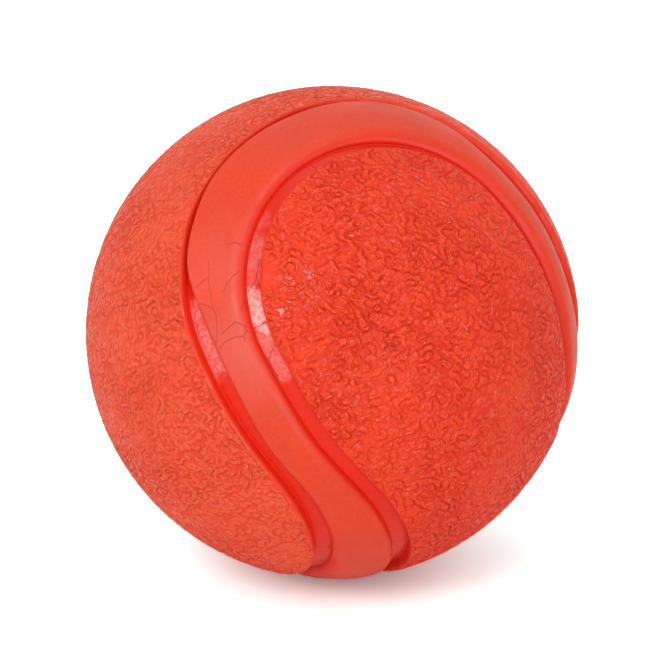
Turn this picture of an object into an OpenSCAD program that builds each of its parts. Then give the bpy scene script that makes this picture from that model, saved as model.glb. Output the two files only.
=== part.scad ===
// Rubber fetch ball for dogs: a hollow core in two halves, two grained cover
// panels that interlock like those of a tennis ball, and a smooth band that runs
// between them with a groove on each side.

/* [Ball] */
// Diameter over the panels and the band
ball_d = 63.5; // [50:0.5:75]
// Thickness of the panels and the band, which is the depth of the grooves
cover_t = 1.5; // [1:0.1:2.5]
// Wall of the hollow core
core_wall = 5; // [3.5:0.1:8]

/* [Seam] */
// Width of a groove from wall to wall
groove_w = 2.2; // [1.2:0.1:3]
// Angle at the ball's centre from the middle of a panel's lobe to the groove round it
lobe_angle = 37.1; // [34:0.1:40]
// Angle of each straight stretch of groove between two lobes
straight_angle = 37.8; // [28:0.2:44]
// Lean of each lobe's middle away from its panel's waist
lobe_lean = 9; // [6:0.5:12]
// Lean of the middle of the arc that wraps a lobe of the other panel
wrap_lean = 16.5; // [14:0.5:20]

/* [Core joint] */
// Height of the lap that joins the halves of the core
lap_h = 2.5; // [1:0.1:4]
// Room for glue between two pieces
glue_gap = 0.05; // [0.02:0.01:0.15]

/* [Pose] */
// Turn about X that lays the seam as it is seen from the front
turn_x = 153.8; // [-180:0.1:180]
// Turn about Y
turn_y = 23.3; // [-180:0.1:180]
// Turn about Z
turn_z = 116.2; // [-180:0.1:180]

/* [Hidden] */
$fn = 96;
ball_r = ball_d / 2;
cover_in_r = ball_r - cover_t;
core_r = cover_in_r - glue_gap;
cavity_r = core_r - core_wall;
// Radius of the step in the lap, at the middle of the core's wall
lap_r = (core_r + cavity_r) / 2;
// Cutting shapes reach this far from the centre
far = 4 * ball_r;

// Half of a groove's width, as an angle at the ball's centre
half_groove = atan(groove_w / 2 / ball_r);
// Middle of one lobe of a panel, and of the arc that wraps one lobe of the other
lobe_c = [cos(lobe_lean), 0, -sin(lobe_lean)];
wrap_c = [0, cos(wrap_lean), sin(wrap_lean)];
lobe_dot_wrap = lobe_c * wrap_c;
// Angle from the wrapping arc's middle to the arc: the straight stretch touches both circles
touch_x = cos(lobe_angle) * cos(straight_angle);
touch_y = sin(lobe_angle);
wrap_angle = acos(lobe_dot_wrap / norm([touch_x, touch_y])) - atan2(touch_y, touch_x);

rubber = [0.93, 0.25, 0.17];
core_rubber = [0.8, 0.16, 0.1];

// Pole of the great circle that touches the lobe's circle and the wrapping circle between them
function straight_pole(lobe_a, wrap_a) =
  let (
    share = 1 - pow(lobe_dot_wrap, 2),
    along_lobe = (sin(lobe_a) + lobe_dot_wrap * sin(wrap_a)) / share,
    along_wrap = -(sin(wrap_a) + lobe_dot_wrap * sin(lobe_a)) / share,
    level = along_lobe * lobe_c + along_wrap * wrap_c
  )
  level + sqrt(1 - level * level) * cross(lobe_c, wrap_c) / sqrt(share);

// Where the straight stretch leaves the lobe's circle, and where it meets the wrapping one
function lobe_end(lobe_a, pole) = (lobe_c - sin(lobe_a) * pole) / cos(lobe_a);
function wrap_end(wrap_a, pole) = (wrap_c + sin(wrap_a) * pole) / cos(wrap_a);

function mirrored(points) = [for (p = points) [-p.x, p.y, p.z]];
function half_turned(points) = [for (p = points) [-p.x, -p.y, p.z]];

module at_lobe() { rotate([0, 90 + lobe_lean, 0]) children(); }
module at_wrap() { rotate([0, 0, 90]) rotate([0, 90 - wrap_lean, 0]) children(); }
module both_ends() {
  for (half_turn = [0, 180])
    rotate([0, 0, half_turn]) children();
}

// Cone about Z with its point at the ball's centre
module cone(angle) { cylinder(h = far, r1 = 0, r2 = far * tan(angle)); }

// Directions on the panel's side of its straight stretches, as a wedge round Z
module waist_wedge(lobe_a, wrap_a) {
  pole = straight_pole(lobe_a, wrap_a);
  stretch = [lobe_end(lobe_a, pole), wrap_end(wrap_a, pole)];
  back = mirrored([stretch[1], stretch[0]]);
  half_rim = concat([lobe_c], stretch, [wrap_c], back);
  rim = concat(half_rim, half_turned(half_rim));
  count = len(rim);
  polyhedron(
    points = concat([[0, 0, 0]], far * rim, [[0, 0, far]]),
    faces = concat(
      [for (i = [0:count - 1]) [0, i + 1, (i + 1) % count + 1]],
      [for (i = [0:count - 1]) [count + 1, (i + 1) % count + 1, i + 1]]
    )
  );
}

// All directions on a panel's side of its groove, moved outward by an angle from the groove's middle
module panel_field(outward) {
  lobe_a = lobe_angle + outward;
  wrap_a = wrap_angle - outward;
  both_ends() at_lobe() cone(lobe_a);
  difference() {
    waist_wedge(lobe_a, wrap_a);
    both_ends() at_wrap() cone(wrap_a);
  }
}

module cover_shell() {
  difference() {
    sphere(ball_r);
    sphere(cover_in_r);
  }
}

// Turns one panel's place to the other's
module other_side() { rotate(a = 180, v = [1, 1, 0]) children(); }

module posed() { rotate([turn_x, turn_y, turn_z]) children(); }

module panel() {
  intersection() {
    at_lobe() cover_shell();
    panel_field(-half_groove);
  }
}

// Section of the core's wall on one side of its axis
module core_section() {
  intersection() {
    difference() {
      circle(core_r);
      circle(cavity_r);
    }
    translate([0, -far]) square([far, 2 * far]);
  }
}

// The lower half stands below the joint, and its tongue reaches up inside the upper half
module core_half_lower() {
  color(core_rubber) posed() rotate_extrude() difference() {
    core_section();
    translate([0, -far]) square([far, far - lap_h]);
    translate([lap_r - glue_gap / 2, -far]) square([far, far + glue_gap / 2]);
  }
}

module core_half_upper() {
  color(core_rubber) posed() rotate_extrude() difference() {
    core_section();
    translate([0, -glue_gap / 2]) square([far, far]);
    translate([0, -lap_h - glue_gap]) square([lap_r + glue_gap / 2, far]);
  }
}

module front_panel() { color(rubber) posed() panel(); }

module rear_panel() { color(rubber) posed() other_side() panel(); }

module seam_band() {
  color(rubber) posed() difference() {
    cover_shell();
    panel_field(half_groove);
    other_side() panel_field(half_groove);
  }
}

core_half_lower();
core_half_upper();
front_panel();
rear_panel();
seam_band();
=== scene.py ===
"""Rubber fetch ball for dogs: the visible pieces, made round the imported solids.

Shapes are worked out in millimetres about the seam's own axis, which crosses the
waists of both panels, then turned into the ball's pose and written in metres.
"""

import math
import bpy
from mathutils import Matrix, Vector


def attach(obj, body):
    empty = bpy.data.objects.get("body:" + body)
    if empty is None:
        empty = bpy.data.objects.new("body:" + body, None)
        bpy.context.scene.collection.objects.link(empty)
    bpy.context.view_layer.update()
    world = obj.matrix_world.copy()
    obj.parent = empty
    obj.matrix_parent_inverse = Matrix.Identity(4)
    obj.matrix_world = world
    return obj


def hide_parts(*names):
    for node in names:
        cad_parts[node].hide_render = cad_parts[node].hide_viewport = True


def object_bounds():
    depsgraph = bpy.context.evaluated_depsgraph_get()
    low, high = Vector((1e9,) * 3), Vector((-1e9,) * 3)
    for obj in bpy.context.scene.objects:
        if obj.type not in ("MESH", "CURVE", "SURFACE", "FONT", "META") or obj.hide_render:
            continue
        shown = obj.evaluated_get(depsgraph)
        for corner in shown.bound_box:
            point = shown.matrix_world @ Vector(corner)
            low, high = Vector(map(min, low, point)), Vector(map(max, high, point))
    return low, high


bl_info = {
    "name": "Rubber fetch ball",
    "version": (1, 0, 0),
    "blender": (4, 5, 0),
    "location": "3D View > Sidebar > Fetch ball",
    "description": "Grained panels, a smooth seam band and a hollow core of a rubber fetch ball",
    "category": "Add Mesh",
}

import bpy
import numpy as np
from bpy.props import (
    FloatProperty,
    FloatVectorProperty,
    IntProperty,
    PointerProperty,
)
from mathutils import Euler, Vector

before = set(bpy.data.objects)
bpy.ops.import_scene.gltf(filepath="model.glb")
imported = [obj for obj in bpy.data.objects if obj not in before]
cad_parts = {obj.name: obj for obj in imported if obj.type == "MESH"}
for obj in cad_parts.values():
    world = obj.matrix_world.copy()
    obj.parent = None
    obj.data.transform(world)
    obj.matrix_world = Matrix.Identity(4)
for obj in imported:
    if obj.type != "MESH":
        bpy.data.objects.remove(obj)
CAD_LOW, CAD_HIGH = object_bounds()

MM = 1000.0
# Panels and band sink this far into the core, so that no gap shows at the foot of their walls,
# and the walls' shade ends this far over that foot, in millimetres
SEAT = 0.02
FOOT_SHADE = 0.15
MIRROR_X = np.array((-1.0, 1.0, 1.0))
MIRROR_Y = np.array((1.0, -1.0, 1.0))
HALF_TURN = np.array((-1.0, -1.0, 1.0))
# Patches of pale bloom with a painted reflection of the key lamp, on the grooves' floor and in
# the grain: place and reach in millimetres, and strength
GROOVE_BLOOM_AND_SHEEN = (
    ((-9.04, -26.07, 12.29), 3.5, 1.0),
    ((-8.27, -28.06, 7.54), 4.4, 0.32),
    ((-9.68, -21.79, 18.54), 5.0, 0.25),
    ((-16.63, -24.0, 7.71), 6.5, 0.35),
)
GRAIN_BLOOM_AND_SHEEN = (((-5.44, -27.26, 15.05), 6.0, 0.5),)
# Where the band is painted paler, as a painted sheen of the lamps: place and reach in millimetres,
# and strength
BAND_SHEEN = (((-11.23, -28.6, 8.01), 11.0, 0.1), ((-14.18, -22.85, 16.87), 11.0, 0.06))
# Where a rim lies further out than the even seam: place, reach and amount in millimetres
RIM_MOVES = {
    "front_panel": (((-0.9, -31.7, -1.8), 8.0, 0.6),),
    "rear_panel": (
        ((-8.7, -6.7, 29.8), 9.0, 1.2),
        ((-16.4, -12.5, 24.0), 8.0, 0.85),
        ((-17.9, -20.2, 16.6), 5.5, 0.7),
    ),
    "band_to_front": (((-0.9, -31.7, -1.8), 8.0, -0.5),),
    "band_to_rear": (
        ((5.5, -0.2, 31.2), 9.0, 1.5),
        ((13.9, 0.8, 28.5), 7.0, 0.6),
        ((-8.7, -6.7, 29.8), 7.0, 0.45),
        ((-16.4, -12.5, 24.0), 8.0, 0.8),
        ((-17.9, -20.2, 16.6), 5.5, 0.7),
        ((-7.2, -30.5, -5.0), 8.0, 0.5),
    ),
}
# Where rims have moved out, their rounding is narrower: the most of it that goes, and the move in
# millimetres at which it does
RIM_NARROWED = 0.82
RIM_CLOSED = 0.8
# The grain's lowest place, its start from the rim, the waver of that start and the clouds of
# deeper and shallower grain, in millimetres
GRAIN_DOWN = 0.35
GRAIN_START = 0.1
GRAIN_WAVER = 0.2
GRAIN_WAVER_LENGTH = 3.0
GRAIN_CLOUD_LENGTH = 14.0
# Where the grain of a panel is worn away: place and reach in millimetres, share that is gone
WORN_AT = {
    "front_panel": (((-9.04, -25.21, 17.04), 2.6, 0.9),),
    "rear_panel": (((29.3, -2.2, 12.1), 12.0, 0.75), ((19.0, 3.0, 25.3), 9.0, 0.7)),
}
# Faces whose edge is sharper than this are shaded apart
SHARP = math.radians(80)
# Width of the camera's sensor in millimetres
SENSOR = 36.0
# Small lamps that sparkle on the grain, in metres
SPARKS = ((-0.15, -0.6, 0.5), (0.12, -0.3, 0.7), (0.5, -0.6, 0.3), (0.15, -0.8, 0.03))
# Single hairline cracks in the band: places along each, in millimetres
BAND_CRACKS = (
    (
        (-15.3, -21.4, 17.4), (-15.3, -22.4, 16.2), (-15.4, -22.8, 15.5),
        (-15.1, -24.0, 13.9), (-15.0, -24.8, 12.7),
    ),
    ((-15.4, -22.8, 15.5), (-16.1, -22.7, 15.0), (-17.0, -22.6, 14.1)),
    ((-11.5, -24.0, 17.1), (-12.4, -24.1, 16.3), (-13.2, -24.4, 15.2), (-13.5, -24.7, 14.4)),
    ((-13.0, -21.3, 19.3), (-12.1, -21.5, 19.8), (-11.4, -22.0, 19.6)),
    (
        (-16.6, -23.8, 12.5), (-15.7, -24.4, 12.5), (-14.8, -25.1, 12.3),
        (-14.4, -25.6, 11.6), (-14.3, -26.4, 9.9), (-14.5, -26.8, 8.3),
    ),
    (
        (-13.8, -26.8, 9.4), (-13.0, -26.9, 10.3), (-12.1, -27.0, 11.2),
        (-11.2, -27.4, 11.0), (-10.6, -27.8, 10.7),
    ),
    (
        (-14.1, -27.2, 7.8), (-13.2, -27.4, 8.8), (-12.1, -27.6, 9.4),
        (-11.1, -28.0, 9.7), (-10.6, -27.8, 10.6),
    ),
    ((-11.1, -28.0, 9.7), (-10.8, -28.3, 9.1)),
    ((-10.6, -25.8, 14.9), (-11.0, -26.1, 14.1), (-11.5, -26.5, 12.7)),
)
# Single hairline cracks across a groove's floor, likewise
FLOOR_CRACKS = (
    ((-10.46, -24.45, 14.3), (-9.49, -23.95, 15.76)),
    ((-9.49, -23.95, 15.76), (-8.65, -25.03, 14.51)),
    ((-9.49, -23.95, 15.76), (-9.04, -22.6, 17.87)),
    ((-9.81, -26.68, 10.19), (-7.75, -26.84, 11.47)),
    ((-8.27, -28.15, 7.16), (-6.73, -29.07, 4.62)),
    ((-7.5, -28.14, 7.98), (-8.27, -28.49, 5.64)),
)


def display(red, green, blue):
    """A colour as a screen shows it, 0 to 255, in linear light."""
    shares = [v / 255 for v in (red, green, blue)]
    return tuple(v / 12.92 if v <= 0.04045 else ((v + 0.055) / 1.055) ** 2.4 for v in shares)


# Sizes, finishes and stage


class BallSizes(bpy.types.PropertyGroup):
    """Sizes of the ball, as the solids have them, and of the detail on it"""

    ball_d: FloatProperty(
        name="Ball diameter",
        description="Over the panels and the band",
        default=CAD_HIGH.x - CAD_LOW.x,
        unit="LENGTH",
    )
    cover_t: FloatProperty(
        name="Cover thickness",
        description="Panels and band, which is the depth of the grooves",
        default=0.0015,
        unit="LENGTH",
    )
    core_wall: FloatProperty(
        name="Core wall", description="Wall of the hollow core", default=0.005, unit="LENGTH"
    )
    lap_h: FloatProperty(
        name="Lap height",
        description="Lap that joins the halves of the core",
        default=0.0025,
        unit="LENGTH",
    )
    glue_gap: FloatProperty(
        name="Glue gap",
        description="Room for glue between two pieces",
        default=0.00005,
        unit="LENGTH",
    )
    groove_w: FloatProperty(
        name="Groove width", description="From wall to wall", default=0.0022, unit="LENGTH"
    )
    lobe_angle: FloatProperty(
        name="Lobe angle",
        description="From the middle of a panel's lobe to the groove round it",
        default=math.radians(37.1),
        subtype="ANGLE",
    )
    straight_angle: FloatProperty(
        name="Straight angle",
        description="Straight stretch of groove between two lobes",
        default=math.radians(37.8),
        subtype="ANGLE",
    )
    lobe_lean: FloatProperty(
        name="Lobe lean",
        description="Lean of a lobe's middle away from its panel's waist",
        default=math.radians(9),
        subtype="ANGLE",
    )
    wrap_lean: FloatProperty(
        name="Wrap lean",
        description="Lean of the middle of the arc that wraps a lobe of the other panel",
        default=math.radians(16.5),
        subtype="ANGLE",
    )
    turn: FloatVectorProperty(
        name="Turn",
        description="Turn that lays the seam as it is seen from the front",
        default=tuple(math.radians(v) for v in (153.8, 23.3, 116.2)),
        subtype="EULER",
    )
    panel_rim: FloatProperty(
        name="Panel rim radius",
        description="Rounding of a panel's rim",
        default=0.0007,
        unit="LENGTH",
    )
    band_rim: FloatProperty(
        name="Band rim height",
        description="Height of the rounding of the band's rims",
        default=0.0013,
        unit="LENGTH",
    )
    band_rim_w: FloatProperty(
        name="Band rim width",
        description="How far in the rounding reaches",
        default=0.0012,
        unit="LENGTH",
    )
    band_slope_w: FloatProperty(
        name="Band slope width",
        description="How much further the rounding reaches in round the panels' lobes",
        default=0.0018,
        unit="LENGTH",
    )
    band_crown: FloatProperty(
        name="Band crown",
        description="How much lower the band is at its rims than in its middle",
        default=0.0001,
        unit="LENGTH",
    )
    foot: FloatProperty(
        name="Groove fillet",
        description="Hollow rounding where a groove's wall meets its floor",
        default=0.00015,
        unit="LENGTH",
    )
    grain_size: FloatProperty(
        name="Grain size", description="Spacing of the raised grain", default=0.0009, unit="LENGTH"
    )
    grain_depth: FloatProperty(
        name="Grain depth",
        description="Depth of the valleys in the grain",
        default=0.00014,
        unit="LENGTH",
    )
    grain_margin: FloatProperty(
        name="Grain margin",
        description="Smooth margin along a panel's rim",
        default=0.0003,
        unit="LENGTH",
    )
    mesh_step: FloatProperty(
        name="Mesh step", description="Spacing of the grained mesh", default=0.000148, unit="LENGTH"
    )
    grain_seed: IntProperty(
        name="Grain seed", description="Start of the random grain", default=7
    )


class BallFinish(bpy.types.PropertyGroup):
    """Colours of the rubber"""

    panel: FloatVectorProperty(
        name="Panel rubber",
        description="Raised grain of the panels",
        default=display(238, 58, 8),
        subtype="COLOR",
    )
    rear: FloatVectorProperty(
        name="Rear panel rubber",
        description="Raised grain of the rear panel, which has paled a little",
        default=display(240, 84, 45),
        subtype="COLOR",
    )
    # Painted shade in the grain's low places and creases, a deeper red than the raised grain
    crease_shade: FloatVectorProperty(
        name="Grain valleys",
        description="Low places of the grain",
        default=display(215, 34, 6),
        subtype="COLOR",
    )
    band: FloatVectorProperty(
        name="Band rubber",
        description="Smooth band along the seam",
        default=display(217, 58, 21),
        subtype="COLOR",
    )
    # Own colour of the grooves' floor on the core; at the foot of the panels' and band's walls the
    # same colour is painted shade in the crease
    groove: FloatVectorProperty(
        name="Groove floor",
        description="Core rubber at the bottom of the grooves, and foot of their walls",
        default=display(226, 38, 8),
        subtype="COLOR",
    )
    # Pale bloom of old rubber, which also paints reflections of the lamps in patches and glints on
    # the grain
    bloom_and_sheen: FloatVectorProperty(
        name="Bloom",
        description="Pale bloom on old rubber in the grooves",
        default=display(252, 188, 183),
        subtype="COLOR",
    )
    crack: FloatVectorProperty(
        name="Crack",
        description="Hairline cracks in aged rubber",
        default=display(172, 24, 8),
        subtype="COLOR",
    )


class StageLook(bpy.types.PropertyGroup):
    """Floor, light and camera"""

    floor: FloatVectorProperty(
        name="Floor", description="Pale floor", default=(0.9, 0.9, 0.9), subtype="COLOR"
    )
    floor_lift: FloatProperty(
        name="Floor lift", description="Light that the floor adds for the camera", default=0.05
    )
    floor_mirrored: FloatVectorProperty(
        name="Floor mirrored",
        description="Further coat that reflections see",
        default=(0.15, 0.15, 0.15),
        subtype="COLOR",
    )
    floor_white: FloatVectorProperty(
        name="Floor white",
        description="Further coat that only the camera sees, cool against the ball's red light",
        default=(0.62, 1.28, 1.28),
        subtype="COLOR",
    )
    sky: FloatProperty(name="Sky", description="Even light all round", default=0.72)
    key: FloatProperty(
        name="Key", description="Soft lamp on the left of the camera", default=1.25, unit="POWER"
    )
    side: FloatProperty(
        name="Side", description="Broad lamp low on the left", default=0.75, unit="POWER"
    )
    low: FloatProperty(
        name="Low", description="Broad lamp near the floor in front", default=1.7, unit="POWER"
    )
    spark: FloatProperty(
        name="Spark",
        description="Each of the small lamps that only reflections show",
        default=1.3,
        unit="POWER",
    )
    top: FloatProperty(name="Top", description="Soft lamp overhead", default=0.4, unit="POWER")
    elevation: FloatProperty(
        name="Camera elevation",
        description="Above the floor's level",
        default=math.radians(20),
        subtype="ANGLE",
    )
    distance: FloatProperty(
        name="Camera distance", description="From the ball's middle", default=0.81, unit="LENGTH"
    )
    lens: FloatProperty(
        name="Lens", description="Focal length in millimetres", default=341.0
    )


# Curves of the seam on a ball of radius 1


def unit(v):
    return v / np.linalg.norm(v, axis=-1, keepdims=True)


def other_side(points):
    """The place of a point of one panel on the other panel."""
    return np.stack((points[..., 1], points[..., 0], -points[..., 2]), -1)


def along_arc(start, end, angle):
    """Points on the great circles from start to end, at an angle from start."""
    whole = np.arccos(np.clip((start * end).sum(-1), -1, 1))
    share_start = np.sin(whole - angle) / np.sin(whole)
    share_end = np.sin(angle) / np.sin(whole)
    return unit(share_start[..., None] * start + share_end[..., None] * end)


def read_off(at, marks, points):
    """Points on the unit ball, read off a line of points with marks along it."""
    return unit(np.stack([np.interp(at, marks, points[:, k]) for k in range(3)], 1))


class Seam:
    """The middle of the groove round a panel: arcs round its lobes, arcs that wrap the other
    panel's lobes, and the straight stretches between them"""

    def __init__(self, sizes):
        self.lobe_a, straight = sizes.lobe_angle, sizes.straight_angle
        lean, wrap_lean = sizes.lobe_lean, sizes.wrap_lean
        self.lobe_c = np.array((math.cos(lean), 0, -math.sin(lean)))
        self.lobe_away = np.array((-math.sin(lean), 0, -math.cos(lean)))
        self.wrap_c = np.array((0, math.cos(wrap_lean), math.sin(wrap_lean)))
        self.wrap_up = np.array((0, -math.sin(wrap_lean), math.cos(wrap_lean)))
        self.dot = float(self.lobe_c @ self.wrap_c)
        x, y = math.cos(self.lobe_a) * math.cos(straight), math.sin(self.lobe_a)
        self.wrap_a = math.acos(self.dot / math.hypot(x, y)) - math.atan2(y, x)

    def pole(self, lobe_a, wrap_a):
        """Pole of the great circle that touches the lobe's circle and the wrapping circle."""
        share = 1 - self.dot**2
        along_lobe = (math.sin(lobe_a) + self.dot * math.sin(wrap_a)) / share
        along_wrap = -(math.sin(wrap_a) + self.dot * math.sin(lobe_a)) / share
        level = along_lobe * self.lobe_c + along_wrap * self.wrap_c
        rise = math.sqrt((1 - level @ level) / share)
        return level + rise * np.cross(self.lobe_c, self.wrap_c)

    def quarter(self, outward, step, multiple=1):
        """A quarter of the groove's curve moved outward from the panel by an angle, from the
        far end of a lobe to the middle of a wrapping arc. Gives (rim, spine) points for the
        lobe, the straight stretch and the wrapping arc: spine is where the line across the
        panel from rim meets the panel's middle line."""
        lobe_a, wrap_a = self.lobe_a + outward, self.wrap_a - outward
        pole = self.pole(lobe_a, wrap_a)
        lobe_end = (self.lobe_c - math.sin(lobe_a) * pole) / math.cos(lobe_a)
        wrap_end = (self.wrap_c + math.sin(wrap_a) * pole) / math.cos(wrap_a)
        side = np.array((0.0, 1.0, 0.0))

        reach = math.atan2(lobe_end @ side, lobe_end @ self.lobe_away)
        count = multiple * math.ceil(reach * math.sin(lobe_a) / step / multiple)
        turn = np.linspace(0, reach, count + 1)[:, None]
        ring = np.cos(turn) * self.lobe_away + np.sin(turn) * side
        lobe = math.cos(lobe_a) * self.lobe_c + math.sin(lobe_a) * ring
        lobe_spine = np.repeat(self.lobe_c[None], count + 1, 0)

        length = math.acos(lobe_end @ wrap_end)
        count = math.ceil(length / step)
        ends = [np.repeat(p[None], count + 1, 0) for p in (lobe_end, wrap_end)]
        straight = along_arc(*ends, np.linspace(0, length, count + 1))
        straight_spine = unit(straight[:, 1:2] * pole - pole[1] * straight)

        reach = math.atan2(wrap_end[0], wrap_end @ self.wrap_up)
        count = math.ceil(reach * math.sin(wrap_a) / step)
        turn = np.linspace(reach, 0, count + 1)[:, None]
        ring = np.cos(turn) * self.wrap_up + np.sin(turn) * np.array((1.0, 0.0, 0.0))
        wrap = math.cos(wrap_a) * self.wrap_c + math.sin(wrap_a) * ring
        wrap_spine = unit(self.wrap_c[1] * wrap - wrap[:, 1:2] * self.wrap_c)
        return (lobe, lobe_spine), (straight, straight_spine), (wrap, wrap_spine)


# Random fields for the grain


def plane_waves(points, length, rng, count=24, spread=0.35):
    """A smooth random field with a spread of 1, whose waves are about as long as length."""
    waves = unit(rng.normal(size=(count, 3)))
    waves *= (2 * math.pi / (length * rng.uniform(1 - spread, 1 + spread, count)))[:, None]
    phases = rng.uniform(0, 2 * math.pi, count)
    total = np.zeros(len(points))
    for wave, phase in zip(waves, phases):
        total += np.cos(points @ wave + phase)
    return total * math.sqrt(2 / count)


def soft_step(low, high, value):
    t = np.clip((value - low) / (high - low), 0, 1)
    return t * t * (3 - 2 * t)


def grain_height(points, size, rng):
    """Height of the grain: 0 in the creases, 1 on the rounded worms and pebbles between them."""
    waves, uneven = 140, 0.4
    rounding, crease, plateau, flank = 0.02, 0.14, 0.95, 1.5
    broad = plane_waves(points, 1.7 * size, rng, waves, uneven)
    fine = plane_waves(points, 1.05 * size, rng, waves, uneven)
    worm, bead = (
        1 - np.clip((np.sqrt(v * v + rounding) - crease) / plateau, 0, 1) for v in (broad, fine)
    )
    worm_depth = 0.65 + 0.35 * soft_step(-1.0, 0.6, plane_waves(points, 3.0 * size, rng))
    bead_depth = 0.5
    return (1 - worm_depth * worm**flank) * (1 - bead_depth * bead**flank)


# Meshes


def weld(points, *layers):
    """Joins points that lie on each other. Gives the kept places and the new number of each."""
    keys = np.round(points * 1000).astype(np.int64)
    _, first, number = np.unique(keys, axis=0, return_index=True, return_inverse=True)
    return (points[first], number.ravel(), *[layer[first] for layer in layers])


def block_faces(*corners):
    """Faces whose corners are at the same place in some blocks of numbers."""
    return np.stack([block.ravel() for block in corners], 1)


def fan_faces(row, middle):
    """Faces from a row to the one point in its middle."""
    return np.stack((row[:-1], row[1:], np.full(len(row) - 1, middle)), 1)


def row_faces(near, far):
    """Faces between two rows of a fan, where one may have fewer points than the other."""
    if len(near) == len(far):
        return np.stack((near[:-1], near[1:], far[1:], far[:-1]), 1), np.zeros((0, 3), int)
    if len(far) > len(near):
        quads, tris = row_faces(far, near)
        return quads[:, ::-1], tris[:, ::-1]
    share = (len(near) - 1) // (len(far) - 1)
    left, right = far[:-1], far[1:]
    tris = [np.stack((left, near[share // 2 :: share], right), 1)]
    for i in range(share):
        apex = left if i < share // 2 else right
        tris.append(np.stack((near[i:-1:share], near[i + 1 :: share], apex), 1))
    return np.zeros((0, 4), int), np.concatenate(tris)


def add_piece(name, points, quads, tris, turn, layers, material):
    """A smooth shaded mesh from points in millimetres about the seam's axis."""
    corners = points[quads]
    volume = np.einsum("ij,ij->", corners[:, 0], np.cross(corners[:, 1], corners[:, 2]))
    volume += np.einsum("ij,ij->", corners[:, 0], np.cross(corners[:, 2], corners[:, 3]))
    if volume < 0:
        quads, tris = quads[:, ::-1], tris[:, ::-1]
    matrix = np.array(Euler(turn, "XYZ").to_matrix())
    mesh = bpy.data.meshes.new(name)
    mesh.from_pydata((points @ matrix.T / MM).tolist(), [], quads.tolist() + tris.tolist())
    for layer, values in layers.items():
        attribute = mesh.attributes.new(layer, "FLOAT", "POINT")
        attribute.data.foreach_set("value", values.astype(np.float32))
    mesh.validate()
    mesh.shade_smooth()
    mesh.set_sharp_from_angle(angle=SHARP)
    mesh.materials.append(material)
    piece = bpy.data.objects.new(name, mesh)
    bpy.context.scene.collection.objects.link(piece)
    return piece


def spot(sizes, place):
    """A place on the posed ball as a direction about the seam's axis."""
    return unit(np.array(place)) @ np.array(Euler(sizes.turn, "XYZ").to_matrix())


def rim_move(sizes, name, rim):
    """Angles by which a rim lies further out than the even seam."""
    ball_r = sizes.ball_d / 2 * MM
    total = np.zeros(len(rim))
    for place, reach, amount in RIM_MOVES[name]:
        away = np.linalg.norm(rim - spot(sizes, place), axis=-1) * ball_r
        total += amount * np.exp(-((away / reach) ** 2))
    return total / ball_r


def rim_share(sizes, move):
    """How much of its width the rounding of a rim keeps where the rim has moved out."""
    return 1 - RIM_NARROWED * np.clip(move * sizes.ball_d / 2 * MM / RIM_CLOSED, 0, 1)


def wall_height(away, floor_r, top_r):
    """How high points lie on a groove's wall, by their radius: 0 at its foot, 1 at the rim."""
    rise = top_r - floor_r - FOOT_SHADE - 0.01
    return np.clip((away - floor_r - FOOT_SHADE) / rise, 0, 1) ** 2


def wall_profile(top_r, floor_r, rim, foot):
    """Distance from the rim and radius along a groove's wall: up the hollow fillet at the floor,
    up the wall and over the rounded rim."""
    bend = np.linspace(0, math.pi / 2, 6)
    fillet = np.stack((foot * (np.sin(bend) - 1), floor_r + foot * (1 - np.cos(bend))), 1)
    wall = np.stack((np.zeros(3), np.linspace(floor_r + foot, top_r - rim, 5)[1:-1]), 1)
    bend = np.linspace(0, math.pi / 2, 15)
    rounding = np.stack((rim * (1 - np.cos(bend)), top_r - rim + rim * np.sin(bend)), 1)
    return np.concatenate((fillet, wall, rounding))


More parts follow.
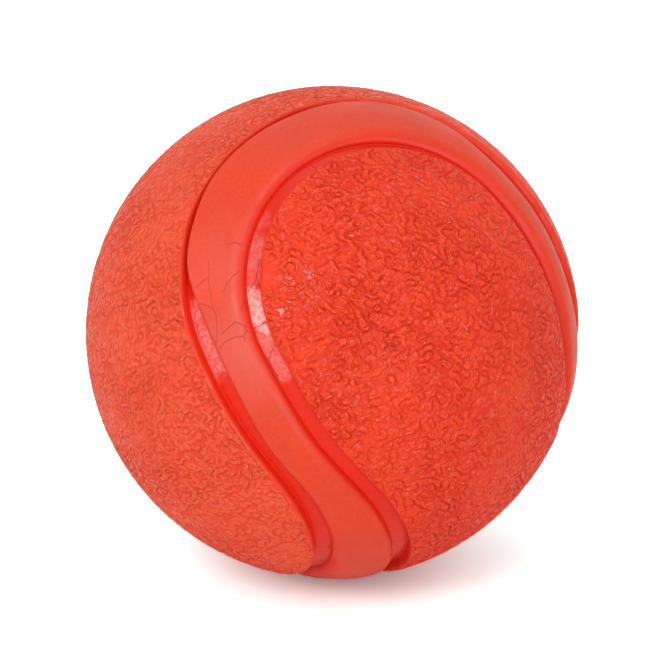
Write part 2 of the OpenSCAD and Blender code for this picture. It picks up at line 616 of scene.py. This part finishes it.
def panel_mesh(sizes, rear, seed, grain_size):
    """Points, faces and layers of a grained panel: rows that follow the rim, from the panel's
    middle line underneath, out to the rim, over it and back to the middle line on top."""
    seam, panel = Seam(sizes), "rear_panel" if rear else "front_panel"
    ball_r = sizes.ball_d / 2 * MM
    floor_r = ball_r - (sizes.cover_t + sizes.glue_gap) * MM - SEAT
    step = sizes.mesh_step * MM
    coarsest = 32
    half_groove = math.atan(sizes.groove_w / sizes.ball_d)
    lobe, straight, wrap = seam.quarter(-half_groove, step / ball_r, coarsest)

    profile = wall_profile(ball_r, floor_r, sizes.panel_rim * MM, sizes.foot * MM)
    deepest = seam.lobe_a - half_groove - (profile[-1, 0] + step) / ball_r
    inner = np.linspace(0, 1, math.ceil(deepest * ball_r / (1.08 * step)) + 1)
    under = np.linspace(1, 0, 12)
    fixed = profile[:, 0] / ball_r
    radius = np.concatenate(
        (np.full(len(under) - 1, floor_r), profile[:, 1], np.full(len(inner), ball_r))
    )

    def rows(rim, spine, wide):
        """Directions, and angles from the rim, of every row of some columns."""
        whole = np.arccos(np.clip((rim * spine).sum(-1), -1, 1))
        below = fixed[0] + (whole - fixed[0]) * under[:-1, None]
        edge = fixed[:, None] * np.where(fixed[:, None] > 0, wide, 1)
        start = (profile[-1, 0] * wide + step) / ball_r
        above = start + (whole - start) * inner[:, None]
        angle = np.concatenate((below, edge, above))
        return along_arc(rim[None], spine[None], angle), angle

    fan = [np.concatenate((part[:0:-1] * MIRROR_Y, part)) for part in lobe]
    strip = [np.concatenate((a, b[1:])) for a, b in zip(straight, wrap)]
    strip = [np.concatenate((part, part[-2::-1] * MIRROR_X)) for part in strip]

    points, edges, quads, tris, first = [], [], [], [], 0
    for columns, is_fan in ((fan, True), (strip, False)):
        for turn in (np.ones(3), HALF_TURN):
            turned = [part * turn for part in columns]
            move = rim_move(sizes, panel, other_side(turned[0]) if rear else turned[0])
            turned[0] = along_arc(*turned, -move)
            ways, angle = rows(*turned, rim_share(sizes, move))
            count = ways.shape[1]
            number = first + np.arange(ways.shape[0] * count).reshape(-1, count)
            first += number.size
            points.append((ways * radius[:, None, None]).reshape(-1, 3))
            edges.append(angle.ravel() * ball_r)
            if not is_fan:
                left, right = number[:, :-1], number[:, 1:]
                quads.append(block_faces(right[:-1], right[1:], left[1:], left[:-1]))
                continue
            spacing = np.linalg.norm(ways[:, 1] - ways[:, 0], axis=-1) * ball_r
            skip = 2 ** np.floor(np.log2(1.5 * step / (spacing + 1e-9)))
            skip = np.clip(skip, 1, coarsest).astype(int)
            for j in range(len(number) - 1):
                near, far = number[j, :: skip[j]], number[j + 1, :: skip[j + 1]]
                if j == 0:
                    tris.append(fan_faces(far, number[0, 0])[:, ::-1])
                elif j == len(number) - 2:
                    tris.append(fan_faces(near, number[-1, 0]))
                else:
                    four, three = row_faces(near, far)
                    quads.append(four)
                    tris.append(three)

    points, edges = np.concatenate(points), np.concatenate(edges)
    quads, tris = np.concatenate(quads), np.concatenate(tris)
    used = np.unique(np.concatenate((quads.ravel(), tris.ravel())))
    kept, number, edges = weld(points[used], edges[used])
    place = np.zeros(len(points), int)
    place[used] = number
    quads, tris = place[quads], place[tris]

    if rear:
        kept = other_side(kept)
    top = np.linalg.norm(kept, axis=1)
    grain, smooth = np.ones(len(kept)), np.ones(len(kept))
    grained = np.flatnonzero((top > ball_r - GRAIN_DOWN) & (edges > GRAIN_START))
    on_top = kept[grained]
    rng = np.random.default_rng(seed)
    height = grain_height(on_top, grain_size * MM, rng)
    cloud = plane_waves(on_top, GRAIN_CLOUD_LENGTH, rng)
    ragged = edges[grained] + GRAIN_WAVER * plane_waves(on_top, GRAIN_WAVER_LENGTH, rng)
    share = soft_step(0.5, 1.5, ragged / (sizes.grain_margin * MM))
    for place, reach, gone in WORN_AT[panel]:
        away = np.linalg.norm(on_top / ball_r - spot(sizes, place), axis=1) * ball_r
        share *= 1 - gone * np.exp(-((away / reach) ** 4))
    smooth[grained] = 1 - share
    share *= np.clip(0.95 + 0.12 * cloud, 0.75, 1.1)
    grain[grained] = 1 - share * (1 - height)
    kept *= (1 - sizes.grain_depth * MM * (1 - grain) / top)[:, None]
    high = wall_height(top, floor_r, ball_r)
    return kept, quads, tris, {"grain": grain, "high": high, "smooth": smooth}


def band_columns(seam, half_groove, step):
    """Pairs of points across the band, all the way round: on its rim towards one panel and on
    its rim towards the other, where the line between them meets both rims at the same angle."""
    fine_step = 0.0016
    parts = seam.quarter(half_groove, fine_step)
    near = np.concatenate([part[0] if i == 0 else part[0][1:] for i, part in enumerate(parts)])
    far = other_side(near)[::-1]
    near_way, far_way = (unit(np.gradient(p, axis=0)) for p in (near, far))
    across = far[None] - near[:, None]
    slant = (across * (near_way[:, None] + far_way[None])).sum(-1)
    index = np.arange(len(near))
    offset = index[None] - index[:, None]
    window = len(near) // 5
    slant = np.where(offset < -window, -1, np.where(offset > window, 1, slant))
    after = np.clip((slant > 0).argmax(1), 1, len(near) - 1)
    before_value, after_value = slant[index, after - 1], slant[index, after]
    match = after - np.clip(after_value / (after_value - before_value), 0, 1)
    match[0], match[-1] = 0, len(near) - 1
    match = np.maximum.accumulate(match)
    partner = read_off(match, index, far)
    middle = unit(near + partner)
    run = np.concatenate(([0], np.cumsum(np.linalg.norm(np.diff(middle, axis=0), axis=1))))
    even = np.linspace(0, run[-1], math.ceil(run[-1] / step) + 1)
    pair = [read_off(even, run, p) for p in (near, partner)]
    half = [np.concatenate((p, p[-2::-1] * MIRROR_X)) for p in pair]
    return [np.concatenate((p[:-1], p[:-1] * HALF_TURN)) for p in half]


def band_mesh(sizes):
    """Points, faces and layers of the band: a closed section carried round the seam."""
    seam = Seam(sizes)
    ball_r = sizes.ball_d / 2 * MM
    floor_r = ball_r - (sizes.cover_t + sizes.glue_gap) * MM - SEAT
    half_groove = math.atan(sizes.groove_w / sizes.ball_d)
    step, over_rows, under_rows = 0.2, 30, 8
    near, far = band_columns(seam, half_groove, step / ball_r)
    moves = rim_move(sizes, "band_to_front", near), rim_move(sizes, "band_to_rear", far)
    near, far = along_arc(near, far, -moves[0]), along_arc(far, near, -moves[1])
    width = np.arccos((near * far).sum(-1))
    crown, rim = sizes.band_crown * MM, sizes.band_rim * MM
    profile = wall_profile(ball_r - crown, floor_r, rim, sizes.foot * MM)
    along = 1 - np.abs(1 - np.arange(len(near)) * 4 / len(near) % 2)
    edges = []
    for lobe_share, move in zip((1 - along, along), moves):
        wide = (sizes.band_rim_w + sizes.band_slope_w * lobe_share**2) * MM / rim
        wide = wide * rim_share(sizes, move)
        edge = profile[:, :1] * np.where(profile[:, :1] > 0, wide, 1)
        edges.append(edge / ball_r)
    share = np.linspace(0, 1, over_rows)[1:-1, None]
    start, end = edges[0][-1], width - edges[1][-1]
    over = start + (end - start) * share
    first, last = edges[0][0], width - edges[1][0]
    under = last + (first - last) * np.linspace(0, 1, under_rows)[1:-1, None]
    angle = np.concatenate((edges[0], over, width - edges[1][::-1], under))
    rise = crown * np.sin(math.pi * share[:, 0])
    radius = np.concatenate(
        (profile[:, 1], ball_r - crown + rise, profile[::-1, 1], np.full(len(under), floor_r))
    )
    ways = along_arc(near[None], far[None], angle)
    points = (ways * radius[:, None, None]).reshape(-1, 3)
    number = np.arange(len(points)).reshape(angle.shape)
    above = np.roll(number, -1, 0)
    quads = block_faces(number, above, np.roll(above, -1, 1), np.roll(number, -1, 1))
    high = wall_height(np.linalg.norm(points, axis=1), floor_r, ball_r - crown)
    return points, quads, np.zeros((0, 3), int), {"high": high}


def core_mesh(sizes, lower):
    """Points and faces of one half of the hollow core, turned about the seam's axis."""
    core_r = (sizes.ball_d / 2 - sizes.cover_t - sizes.glue_gap) * MM
    cavity_r = core_r - sizes.core_wall * MM
    lap_r, lap, gap = (core_r + cavity_r) / 2, sizes.lap_h * MM, sizes.glue_gap * MM
    side = 1 if lower else -1
    half_joint = 0.005
    joint_z = side * half_joint
    lap_z = -lap if lower else -lap - gap
    step_r = lap_r - side * gap / 2
    outer_steps, inner_steps, count = 90, 24, 256
    outer = np.linspace(0, math.acos(joint_z * side / core_r), outer_steps)
    inner = np.linspace(math.acos(lap_z * side / cavity_r), 0, inner_steps)
    section = [(core_r * math.sin(a), side * core_r * math.cos(a)) for a in outer]
    section += [(step_r, joint_z), (step_r, lap_z)]
    section += [(cavity_r * math.sin(a), side * cavity_r * math.cos(a)) for a in inner]
    section = np.array(section)
    turn = np.arange(count) * 2 * math.pi / count
    rings = section[1:-1]
    points = np.stack(
        (
            rings[:, :1] * np.cos(turn),
            rings[:, :1] * np.sin(turn),
            np.repeat(rings[:, 1:], count, 1),
        ),
        -1,
    ).reshape(-1, 3)
    number = np.arange(len(points)).reshape(-1, count)
    after = np.roll(number, -1, 1)
    quads = block_faces(number[:-1], number[1:], after[1:], after[:-1])
    ends = np.array([(0, 0, section[0, 1]), (0, 0, section[-1, 1])])
    points = np.concatenate((points, ends))
    cap, pit = len(points) - 2, len(points) - 1
    tris = np.concatenate(
        (
            np.stack((np.full(count, cap), number[0], after[0]), 1),
            np.stack((np.full(count, pit), after[-1], number[-1]), 1),
        )
    )
    return points, quads, tris


# Materials


def math_node(tree, operation, a, b):
    """The result of two values, each a number or a socket."""
    node = tree.nodes.new("ShaderNodeMath")
    node.operation = operation
    for socket, value in zip(node.inputs, (a, b)):
        if isinstance(value, (int, float)):
            socket.default_value = value
        else:
            tree.links.new(value, socket)
    return node.outputs["Value"]


def seen_directly(tree, strength):
    """A strength for camera, glossy and transmission rays, and 0 for the rest."""
    rays = tree.nodes.new("ShaderNodeLightPath").outputs
    total = rays["Is Camera Ray"]
    for name in ("Is Glossy Ray", "Is Transmission Ray"):
        total = math_node(tree, "MAXIMUM", total, rays[name])
    return math_node(tree, "MULTIPLY", total, strength)


class Nodes:
    """Adds shader nodes to a new material and joins them"""

    # Sockets of a mix node that are colours
    MIX_COLOURS, MIX_RESULT = (6, 7), 2

    def __init__(self, name):
        self.material = bpy.data.materials.new(name)
        self.material.use_nodes = True
        self.tree = self.material.node_tree
        self.shader = self.tree.nodes["Principled BSDF"]
        self.place = self.add("ShaderNodeTexCoord").outputs["Object"]

    def add(self, kind, **settings):
        """A node with some of its settings."""
        node = self.tree.nodes.new(kind)
        for name, value in settings.items():
            setattr(node, name, value)
        return node

    def join(self, source, target):
        self.tree.links.new(source, target)

    def attribute(self, name):
        return self.add("ShaderNodeAttribute", attribute_name=name).outputs["Fac"]

    def noise(self, size, detail=3.0, rough=0.55):
        """Cloudy values from 0 to 1 with features of a size in millimetres."""
        node = self.add("ShaderNodeTexNoise")
        node.inputs["Scale"].default_value = MM / size
        node.inputs["Detail"].default_value = detail
        node.inputs["Roughness"].default_value = rough
        self.join(self.place, node.inputs["Vector"])
        return node.outputs["Fac"]

    def spread(self, value, low, high, to_low=0.0, to_high=1.0, smooth=True):
        """A value's range spread over another."""
        node = self.add("ShaderNodeMapRange", clamp=True)
        node.interpolation_type = "SMOOTHSTEP" if smooth else "LINEAR"
        ends = {"From Min": low, "From Max": high, "To Min": to_low, "To Max": to_high}
        for name, number in ends.items():
            node.inputs[name].default_value = number
        self.join(value, node.inputs["Value"])
        return node.outputs["Result"]

    def math(self, operation, a, b):
        return math_node(self.tree, operation, a, b)

    def from_place(self, operation, vector):
        """A number from the place on the ball and a given vector."""
        node = self.add("ShaderNodeVectorMath", operation=operation)
        self.join(self.place, node.inputs[0])
        node.inputs[1].default_value = vector
        return node.outputs["Value"]

    def mix(self, share, a, b):
        """Colour a turned into colour b by a share."""
        node = self.add("ShaderNodeMix", data_type="RGBA")
        self.join(share, node.inputs["Factor"])
        for socket, value in zip((node.inputs[i] for i in self.MIX_COLOURS), (a, b)):
            if isinstance(value, bpy.types.NodeSocket):
                self.join(value, socket)
            else:
                socket.default_value = (*value, 1)
        return node.outputs[self.MIX_RESULT]

    def cracks(self, size, width, share):
        """Hairline cracks in a share of the surface, 1 on the line: borders of large wavering
        cells, of a size and width in millimetres."""
        warp = self.add("ShaderNodeTexNoise")
        warp.inputs["Scale"].default_value = MM / (0.3 * size)
        warp.inputs["Detail"].default_value = 2
        self.join(self.place, warp.inputs["Vector"])
        push = self.add("ShaderNodeVectorMath", operation="SCALE")
        push.inputs["Scale"].default_value = 0.28 * size / MM
        self.join(warp.outputs["Color"], push.inputs[0])
        moved = self.add("ShaderNodeVectorMath", operation="ADD")
        self.join(self.place, moved.inputs[0])
        self.join(push.outputs["Vector"], moved.inputs[1])
        cells = self.add("ShaderNodeTexVoronoi", feature="DISTANCE_TO_EDGE")
        cells.inputs["Scale"].default_value = MM / size
        self.join(moved.outputs["Vector"], cells.inputs["Vector"])
        line = self.spread(cells.outputs["Distance"], 0.0, width / size, 1.0, 0.0)
        patch = self.spread(self.noise(1.6 * size, 2.0), 0.66 - 0.4 * share, 0.72 - 0.4 * share)
        return self.math("MULTIPLY", line, patch)

    def spots(self, patches, ragged=0.35, core=0.45):
        """Patches round some places: their strength there, and 0 away from them."""
        border = self.spread(self.noise(3.0, 4.0), 0.3, 0.7, -ragged, ragged)
        most = 0.0
        for place, reach, strength in patches:
            away = self.from_place("DISTANCE", [v / MM for v in place])
            far = self.math("ADD", self.math("MULTIPLY", away, MM / reach), border)
            most = self.math("MAXIMUM", most, self.spread(far, core, 1.0, strength, 0.0))
        return most

    def hairlines(self, lines, width):
        """Hairline cracks on the ball along lines of places, 1 on the line."""
        most = 0.0
        for ends in (pair for line in lines for pair in zip(line, line[1:])):
            start, end = (Vector(place) / MM for place in ends)
            across = self.from_place("DOT_PRODUCT", start.cross(end).normalized())
            line = self.spread(self.math("ABSOLUTE", across, 0.0), 0.0, width / MM, 1.0, 0.0)
            along = self.from_place("DISTANCE", (start + end) / 2)
            half = (end - start).length / 2
            near = self.spread(along, half, 1.2 * half, 1.0, 0.0)
            most = self.math("MAXIMUM", most, self.math("MULTIPLY", line, near))
        return most

    def bump(self, height, distance, strength=1.0, under=None):
        """A normal for a height from 0 to 1 over a distance in millimetres, on another normal."""
        node = self.add("ShaderNodeBump")
        node.inputs["Strength"].default_value = strength
        node.inputs["Distance"].default_value = distance / MM
        self.join(height, node.inputs["Height"])
        if under is not None:
            self.join(under, node.inputs["Normal"])
        return node.outputs["Normal"]

    def finish(self, colour, roughness, normal, specular=0.24):
        """The material, with its colour, roughness and normal joined to its shader."""
        for name, socket in (("Base Color", colour), ("Roughness", roughness), ("Normal", normal)):
            self.join(socket, self.shader.inputs[name])
        self.shader.inputs["Specular IOR Level"].default_value = specular
        return self.material


def panel_rubber(look, name, raised, crease_shade_share, painted_glints):
    """Grained rubber: raised grain with glossy spots and pale painted glints along its edges,
    valleys with painted shade by a share, smooth rims, cloudy colour, fine cracks and fine tooth."""
    n = Nodes(name)
    grain, high, smooth = (n.attribute(layer) for layer in ("grain", "high", "smooth"))
    low = n.spread(grain, 0.15, 0.88, 1.0, 0.0)
    # Painted shade in the grain's creases, by a share for each panel
    colour = n.mix(n.math("MULTIPLY", low, crease_shade_share), raised, look.crease_shade)
    cloud = n.spread(n.noise(9.0), 0.3, 0.75, 0.0, 0.35)
    colour = n.mix(cloud, colour, look.band)
    # Smooth rims and worn places take some of the groove floor's deeper red: partly the smooth
    # rubber's own tone, partly painted shade on the far side's worn patches
    colour = n.mix(n.math("MULTIPLY", smooth, 0.6), colour, look.groove)
    dip = n.spread(grain, 0.12, 0.3, 1.0, 0.0)
    # Painted reflection of the key lamp, with pale bloom, in the grain's valleys round one place
    colour = n.mix(n.math("MULTIPLY", n.spots(GRAIN_BLOOM_AND_SHEEN), dip), colour, look.bloom_and_sheen)
    # Pale painted glints along the edges of the grain's creases, in sparse patches
    edge = n.math("MULTIPLY", n.spread(grain, 0.3, 0.45), n.spread(grain, 0.52, 0.68, 1.0, 0.0))
    edge = n.math("MULTIPLY", edge, n.spread(n.noise(0.8, 2.0), 0.56, 0.64, 0.0, painted_glints))
    colour = n.mix(edge, colour, look.bloom_and_sheen)
    # Painted shade at the foot of the groove's wall, where it meets the floor
    colour = n.mix(n.spread(high, 0.0, 0.95, 1.0, 0.0, False), colour, look.groove)
    crack = n.cracks(size=13.0, width=0.1, share=0.25)
    colour = n.mix(n.math("MULTIPLY", crack, 0.5), colour, look.crack)
    dull, shine, duller = 0.34, 0.15, 0.28
    tooth = n.noise(0.45, 2.0)
    shiny = n.math("MULTIPLY", n.spread(n.noise(1.4, 2.0), 0.51, 0.56), n.spread(grain, 0.55, 0.8))
    uneven = n.spread(tooth, 0.3, 0.7, -0.04, 0.04)
    rough = n.math("ADD", n.spread(shiny, 0.0, 1.0, dull, shine), uneven)
    rough = n.math("ADD", rough, n.math("MULTIPLY", n.math("MAXIMUM", smooth, low), duller))
    normal = n.bump(tooth, distance=0.03, strength=0.6)
    relief = n.math("MULTIPLY", n.spread(high, 0.94, 1.0), n.math("SUBTRACT", grain, 1.0))
    normal = n.bump(relief, distance=0.27, under=normal)
    normal = n.bump(n.math("SUBTRACT", 1.0, crack), distance=0.05, strength=0.7, under=normal)
    return n.finish(colour, rough, normal)


def band_rubber(look):
    """Smooth rubber with a soft painted sheen, pale mottling, painted shade at the foot of its
    rims, hairline cracks and a faint orange-peel skin.
    """
    n = Nodes("band_rubber")
    high = n.attribute("high")
    cloud = n.spread(n.noise(7.0), 0.3, 0.75, 0.0, 0.5)
    colour = n.mix(cloud, look.band, look.panel)
    # Painted sheen of the lamps on the band's left, in soft patches
    colour = n.mix(n.spots(BAND_SHEEN, ragged=0.08, core=0.0), colour, look.bloom_and_sheen)
    speck = n.spread(n.noise(0.5, 4.0, 0.7), 0.35, 0.65, 0.0, 0.03)
    colour = n.mix(speck, colour, look.bloom_and_sheen)
    # Painted shade at the foot of the groove's wall, where it meets the floor
    colour = n.mix(n.spread(high, 0.0, 0.98, 1.0, 0.0, False), colour, look.groove)
    crack = n.hairlines(BAND_CRACKS, width=0.12)
    colour = n.mix(n.math("MULTIPLY", crack, 0.55), colour, look.crack)
    rough = n.spread(n.noise(3.0), 0.25, 0.75, 0.38, 0.5)
    normal = n.bump(n.noise(0.9, 3.0), distance=0.025, strength=0.7)
    normal = n.bump(n.math("SUBTRACT", 1.0, crack), distance=0.06, strength=0.8, under=normal)
    return n.finish(colour, rough, normal)


def core_rubber(look):
    """Glossy floor of the grooves with patches of pale bloom and painted reflection, and fine
    cracks across it.
    """
    n = Nodes("core_rubber")
    speck = n.spread(n.noise(0.45, 4.0, 0.7), 0.35, 0.6, 0.35, 1.0)
    # Patches of pale bloom with a painted reflection of the key lamp on the grooves' floor, mottled
    colour = n.mix(n.math("MULTIPLY", n.spots(GROOVE_BLOOM_AND_SHEEN), speck), look.groove, look.bloom_and_sheen)
    crack = n.cracks(size=8.0, width=0.08, share=0.3)
    crack = n.math("MAXIMUM", crack, n.hairlines(FLOOR_CRACKS, width=0.14))
    colour = n.mix(n.math("MULTIPLY", crack, 0.8), colour, look.crack)
    rough = n.spread(n.noise(0.6, 2.0), 0.3, 0.7, 0.26, 0.4)
    normal = n.bump(n.noise(0.35, 2.0), distance=0.015, strength=0.5)
    normal = n.bump(n.math("SUBTRACT", 1.0, crack), distance=0.06, strength=0.8, under=normal)
    return n.finish(colour, rough, normal)


def stage_floor(look):
    """Pale floor that keeps the shadow and is lifted to white for the camera and in reflections."""
    n = Nodes("stage_floor")
    n.shader.inputs["Base Color"].default_value = (*look.floor, 1)
    n.shader.inputs["Roughness"].default_value = 0.9
    n.shader.inputs["Specular IOR Level"].default_value = 0.0
    lift = n.add("ShaderNodeEmission")
    n.join(seen_directly(n.tree, look.floor_lift), lift.inputs["Strength"])
    coat = n.add("ShaderNodeBsdfDiffuse")
    coat_colour = n.mix(seen_directly(n.tree, 1.0), (0, 0, 0), look.floor_mirrored)
    camera = n.add("ShaderNodeLightPath").outputs["Is Camera Ray"]
    n.join(n.mix(camera, coat_colour, look.floor_white), coat.inputs["Color"])
    total = n.shader.outputs["BSDF"]
    for extra in (lift.outputs["Emission"], coat.outputs["BSDF"]):
        both = n.add("ShaderNodeAddShader")
        n.join(total, both.inputs[0])
        n.join(extra, both.inputs[1])
        total = both.outputs["Shader"]
    n.join(total, n.tree.nodes["Material Output"].inputs["Surface"])
    return n.material


# Operators


def stand_for(piece, node):
    """A piece takes a solid's place and rides on the ball."""
    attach(piece, "root")
    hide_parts(node)


class BALL_OT_core(bpy.types.Operator):
    """Make both halves of the hollow core"""

    bl_idname = "ball.core"
    bl_label = "Core halves"

    def execute(self, context):
        sizes = context.scene.ball_sizes
        rubber = core_rubber(context.scene.ball_finish)
        for name, lower in (("core_half_lower", True), ("core_half_upper", False)):
            points, quads, tris = core_mesh(sizes, lower)
            piece = add_piece(f"{name}_rubber", points, quads, tris, sizes.turn, {}, rubber)
            stand_for(piece, name)
        return {"FINISHED"}


class BALL_OT_panels(bpy.types.Operator):
    """Make the two grained panels"""

    bl_idname = "ball.panels"
    bl_label = "Grained panels"

    def execute(self, context):
        sizes = context.scene.ball_sizes
        look = context.scene.ball_finish
        front = panel_rubber(look, "panel_rubber", look.panel, crease_shade_share=0.8, painted_glints=0.12)
        rear = panel_rubber(look, "rear_rubber", look.rear, crease_shade_share=0.55, painted_glints=0.08)
        finer = 0.95
        kinds = (
            ("front_panel", False, sizes.grain_size, front),
            ("rear_panel", True, sizes.grain_size * finer, rear),
        )
        for i, (name, is_rear, grain_size, rubber) in enumerate(kinds):
            seed = sizes.grain_seed + i
            points, quads, tris, layers = panel_mesh(sizes, is_rear, seed, grain_size)
            piece = add_piece(f"{name}_rubber", points, quads, tris, sizes.turn, layers, rubber)
            stand_for(piece, name)
        return {"FINISHED"}


class BALL_OT_band(bpy.types.Operator):
    """Make the smooth band along the seam"""

    bl_idname = "ball.band"
    bl_label = "Seam band"

    def execute(self, context):
        sizes = context.scene.ball_sizes
        points, quads, tris, layers = band_mesh(sizes)
        rubber = band_rubber(context.scene.ball_finish)
        piece = add_piece("seam_band_rubber", points, quads, tris, sizes.turn, layers, rubber)
        stand_for(piece, "seam_band")
        return {"FINISHED"}


def aim(thing, place, target):
    """Puts a lamp or camera at a place and turns it to a target."""
    thing.location = place
    thing.rotation_euler = (Vector(target) - Vector(place)).to_track_quat("-Z", "Y").to_euler()


def add_lamp(name, place, size, power, target):
    """A soft square lamp that the camera doesn't see."""
    data = bpy.data.lights.new(name, "AREA")
    data.shape, data.size, data.energy = "SQUARE", size, power
    lamp = bpy.data.objects.new(name, data)
    lamp.visible_camera = False
    bpy.context.scene.collection.objects.link(lamp)
    aim(lamp, place, target)
    return lamp


class BALL_OT_stage(bpy.types.Operator):
    """Make the floor, the light and the camera"""

    bl_idname = "ball.stage"
    bl_label = "Stage"

    def execute(self, context):
        scene, look = context.scene, context.scene.ball_stage
        reach, level = 20.0, CAD_LOW.z
        mesh = bpy.data.meshes.new("floor")
        corners = [(x * reach, y * reach, level) for x, y in ((-1, -1), (1, -1), (1, 1), (-1, 1))]
        mesh.from_pydata(corners, [], [(0, 1, 2, 3)])
        mesh.materials.append(stage_floor(look))
        floor = bpy.data.objects.new("floor", mesh)
        scene.collection.objects.link(floor)

        world = bpy.data.worlds.new("studio")
        scene.world = world
        world.use_nodes = True
        tree = world.node_tree
        sky = tree.nodes["Background"]
        sky.inputs["Color"].default_value = (1, 1, 1, 1)
        strength = math_node(tree, "ADD", seen_directly(tree, 1.0 - look.sky), look.sky)
        tree.links.new(strength, sky.inputs["Strength"])

        middle = (CAD_LOW + CAD_HIGH) / 2
        add_lamp("key_lamp", (-0.26, -0.55, 0.44), size=0.26, power=look.key, target=middle)
        for i, place in enumerate(SPARKS):
            spark = add_lamp(f"spark_lamp_{i}", place, size=0.05, power=look.spark, target=middle)
            spark.visible_diffuse = False
        add_lamp("top_lamp", (0, 0.1, 0.6), size=0.3, power=look.top, target=middle)
        add_lamp("side_lamp", (-0.78, -0.18, 0.12), size=0.5, power=look.side, target=middle)
        add_lamp("low_lamp", (0.3, -0.82, 0.06), size=0.3, power=look.low, target=middle)

        data = bpy.data.cameras.new("camera")
        data.lens, data.sensor_width = look.lens, SENSOR
        data.clip_start, data.clip_end = 0.05, 100
        camera = bpy.data.objects.new("camera", data)
        scene.collection.objects.link(camera)
        back = Vector((0, -math.cos(look.elevation), math.sin(look.elevation)))
        aim(camera, middle + back * look.distance, middle)
        scene.camera = camera
        scene.view_settings.view_transform = "Standard"
        return {"FINISHED"}


class BALL_PT_maker(bpy.types.Panel):
    """Sizes, colours and pieces of the ball"""

    bl_label = "Fetch ball"
    bl_idname = "BALL_PT_maker"
    bl_space_type = "VIEW_3D"
    bl_region_type = "UI"
    bl_category = "Fetch ball"

    def draw(self, context):
        for title, group in (
            ("Sizes", context.scene.ball_sizes),
            ("Rubber", context.scene.ball_finish),
            ("Stage", context.scene.ball_stage),
        ):
            box = self.layout.box()
            box.label(text=title)
            for name in group.__annotations__:
                box.prop(group, name)
        for operator in OPERATORS:
            self.layout.operator(operator.bl_idname)


GROUPS = {"ball_sizes": BallSizes, "ball_finish": BallFinish, "ball_stage": StageLook}
OPERATORS = (BALL_OT_core, BALL_OT_panels, BALL_OT_band, BALL_OT_stage)


def register():
    for group in GROUPS.values():
        bpy.utils.register_class(group)
    for name, group in GROUPS.items():
        setattr(bpy.types.Scene, name, PointerProperty(type=group))
    for kind in (*OPERATORS, BALL_PT_maker):
        bpy.utils.register_class(kind)


def unregister():
    for kind in (BALL_PT_maker, *reversed(OPERATORS)):
        bpy.utils.unregister_class(kind)
    for name, group in GROUPS.items():
        delattr(bpy.types.Scene, name)
        bpy.utils.unregister_class(group)


def main():
    register()
    bpy.ops.ball.core()
    bpy.ops.ball.panels()
    bpy.ops.ball.band()
    bpy.ops.ball.stage()


if __name__ == "__main__":
    main()
